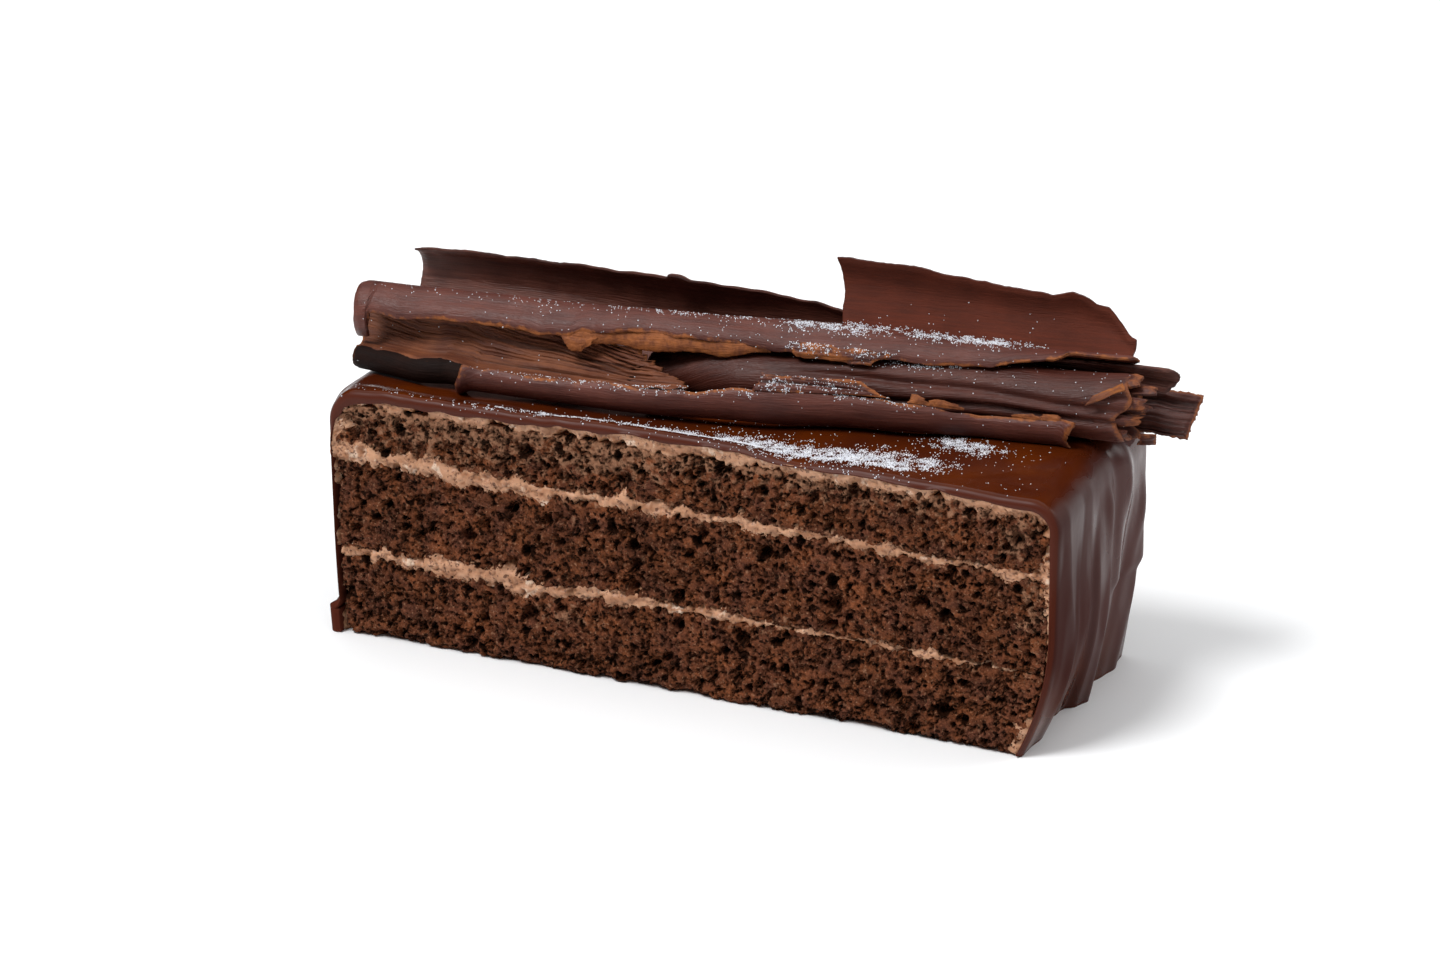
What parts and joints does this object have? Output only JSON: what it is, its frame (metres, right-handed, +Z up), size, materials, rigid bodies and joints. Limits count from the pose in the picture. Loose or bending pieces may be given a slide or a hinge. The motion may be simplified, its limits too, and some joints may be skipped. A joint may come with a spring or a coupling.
{
  "type": "slice of chocolate cake",
  "caption": "Rectangular slice of chocolate layer cake with cream fillings, a poured glaze over the top and both ends, and a heap of rolled and torn chocolate curls on top.",
  "frame": {"origin": "middle of the flat base of the slice, on the surface it rests on", "axes": "+X along the slice, towards its right end as seen from the cut side with the low curl in front; +Y from that cut side to the other one; +Z up"},
  "size_m": [0.1326, 0.0414, 0.0642],
  "materials": {
    "sponge": "matte open crumb",
    "cream": "soft satin cream",
    "glaze": "glossy poured glaze",
    "chocolate": "satin, with a waxy sheen",
    "torn_chocolate": "rough torn chocolate"
  },
  "bodies": {
    "root": {"sponge_bottom": "sponge", "sponge_middle": "sponge", "sponge_top": "sponge", "cream_lower": "cream", "cream_upper": "cream", "cream_coat": "cream", "glaze": "glaze", "curl_back": "chocolate", "curl_crest": "chocolate", "curl_middle": "chocolate", "curl_front": "chocolate", "curl_grooved": "torn_chocolate", "shard_tip": "torn_chocolate", "shard_end": "torn_chocolate", "chip_end": "torn_chocolate", "sliver": "torn_chocolate"}
  },
  "joints": []
}
